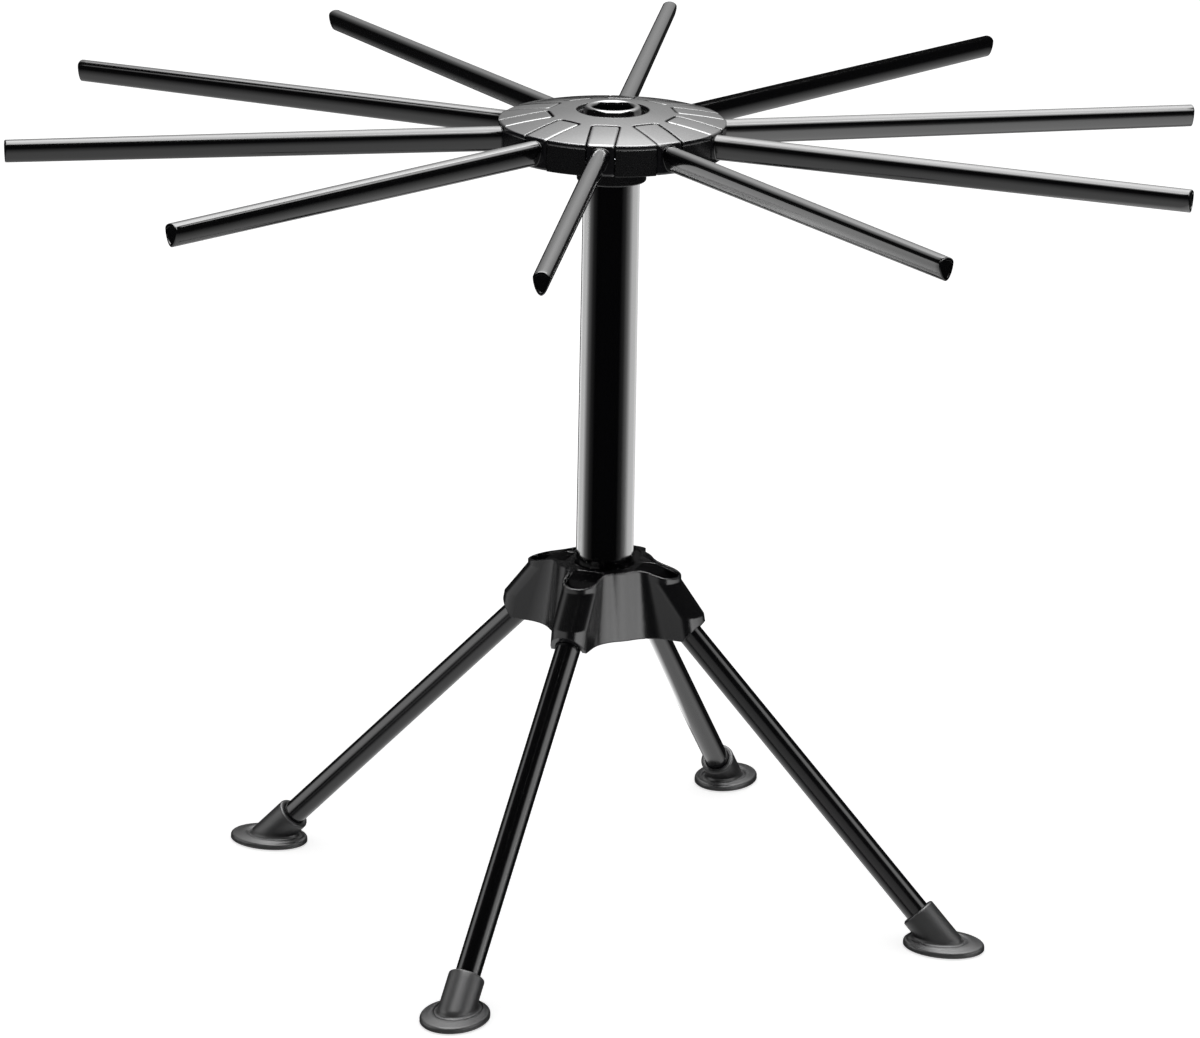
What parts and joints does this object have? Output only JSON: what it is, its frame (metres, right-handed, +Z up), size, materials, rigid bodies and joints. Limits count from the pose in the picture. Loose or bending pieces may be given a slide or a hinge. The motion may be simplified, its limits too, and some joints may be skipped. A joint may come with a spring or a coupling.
{
  "type": "pasta drying rack",
  "caption": "Folding countertop rack for drying fresh pasta: arms spread like spokes from a domed hub on a round column, held by splayed folding legs with oval feet.",
  "frame": {"origin": "on the table under the middle of the column", "axes": "+Z up along the column; the legs lie along +X, +Y, -X and -Y; the first arm is 2.34 degrees clockwise of +X seen from above"},
  "size_m": [0.4298, 0.4154, 0.2975],
  "materials": {
    "hub_cap_satin": "satin, moulded",
    "hub_satin": "satin, moulded",
    "ring_gloss": "gloss, moulded",
    "column_gloss": "gloss enamel on a drawn tube",
    "bracket_satin": "satin, moulded",
    "inner_plastic": "plain moulded",
    "screw_steel": "zinc plated",
    "pin_steel": "drawn",
    "arm_gloss": "gloss, moulded",
    "leg_paint": "satin enamel on a drawn tube",
    "foot_rubber": "matt, moulded"
  },
  "bodies": {
    "stand": {"hub_cap": "hub_cap_satin", "hub_body": "hub_satin", "top_ring": "ring_gloss", "column_tube": "column_gloss", "leg_bracket": "bracket_satin", "column_plug": "inner_plastic", "column_screw": "screw_steel", "hub_screws": "screw_steel", "arm_hinge_pins": "pin_steel", "leg_hinge_pins": "pin_steel"},
    "arm_01": {"arm_01": "arm_gloss"},
    "arm_02": {"arm_02": "arm_gloss"},
    "arm_03": {"arm_03": "arm_gloss"},
    "arm_04": {"arm_04": "arm_gloss"},
    "arm_05": {"arm_05": "arm_gloss"},
    "arm_06": {"arm_06": "arm_gloss"},
    "arm_07": {"arm_07": "arm_gloss"},
    "arm_08": {"arm_08": "arm_gloss"},
    "arm_09": {"arm_09": "arm_gloss"},
    "arm_10": {"arm_10": "arm_gloss"},
    "leg_1": {"leg_tube_1": "leg_paint", "leg_knuckle_1": "bracket_satin", "foot_1": "foot_rubber"},
    "leg_2": {"leg_tube_2": "leg_paint", "leg_knuckle_2": "bracket_satin", "foot_2": "foot_rubber"},
    "leg_3": {"leg_tube_3": "leg_paint", "leg_knuckle_3": "bracket_satin", "foot_3": "foot_rubber"},
    "leg_4": {"leg_tube_4": "leg_paint", "leg_knuckle_4": "bracket_satin", "foot_4": "foot_rubber"}
  },
  "joints": [
    {"name": "arm_fold_01", "type": "hinge", "parent": "stand", "child": "arm_01", "pos_m": [0.03497, -0.00143, 0.2855], "axis": [0.0408, 0.9992, 0], "range_deg": [0, 87]},
    {"name": "arm_fold_02", "type": "hinge", "parent": "stand", "child": "arm_02", "pos_m": [0.02913, 0.0194, 0.2855], "axis": [-0.5543, 0.8323, 0], "range_deg": [0, 87]},
    {"name": "arm_fold_03", "type": "hinge", "parent": "stand", "child": "arm_03", "pos_m": [0.01217, 0.03282, 0.2855], "axis": [-0.9376, 0.3476, 0], "range_deg": [0, 87]},
    {"name": "arm_fold_04", "type": "hinge", "parent": "stand", "child": "arm_04", "pos_m": [-0.00945, 0.0337, 0.2855], "axis": [-0.9629, -0.2699, 0], "range_deg": [0, 87]},
    {"name": "arm_fold_05", "type": "hinge", "parent": "stand", "child": "arm_05", "pos_m": [-0.02745, 0.02171, 0.2855], "axis": [-0.6203, -0.7843, 0], "range_deg": [0, 87]},
    {"name": "arm_fold_06", "type": "hinge", "parent": "stand", "child": "arm_06", "pos_m": [-0.03497, 0.00143, 0.2855], "axis": [-0.0408, -0.9992, 0], "range_deg": [0, 87]},
    {"name": "arm_fold_07", "type": "hinge", "parent": "stand", "child": "arm_07", "pos_m": [-0.02913, -0.0194, 0.2855], "axis": [0.5543, -0.8323, 0], "range_deg": [0, 87]},
    {"name": "arm_fold_08", "type": "hinge", "parent": "stand", "child": "arm_08", "pos_m": [-0.01217, -0.03282, 0.2855], "axis": [0.9376, -0.3476, 0], "range_deg": [0, 87]},
    {"name": "arm_fold_09", "type": "hinge", "parent": "stand", "child": "arm_09", "pos_m": [0.00945, -0.0337, 0.2855], "axis": [0.9629, 0.2699, 0], "range_deg": [0, 87]},
    {"name": "arm_fold_10", "type": "hinge", "parent": "stand", "child": "arm_10", "pos_m": [0.02745, -0.02171, 0.2855], "axis": [0.6203, 0.7843, 0], "range_deg": [0, 87]},
    {"name": "leg_fold_1", "type": "hinge", "parent": "stand", "child": "leg_1", "pos_m": [0.018, 0, 0.1217], "axis": [0, 1, 0], "range_deg": [0, 44]},
    {"name": "leg_fold_2", "type": "hinge", "parent": "stand", "child": "leg_2", "pos_m": [0, 0.018, 0.1217], "axis": [-1, 0, 0], "range_deg": [0, 44]},
    {"name": "leg_fold_3", "type": "hinge", "parent": "stand", "child": "leg_3", "pos_m": [-0.018, 0, 0.1217], "axis": [0, -1, 0], "range_deg": [0, 44]},
    {"name": "leg_fold_4", "type": "hinge", "parent": "stand", "child": "leg_4", "pos_m": [0, -0.018, 0.1217], "axis": [1, 0, 0], "range_deg": [0, 44]}
  ]
}
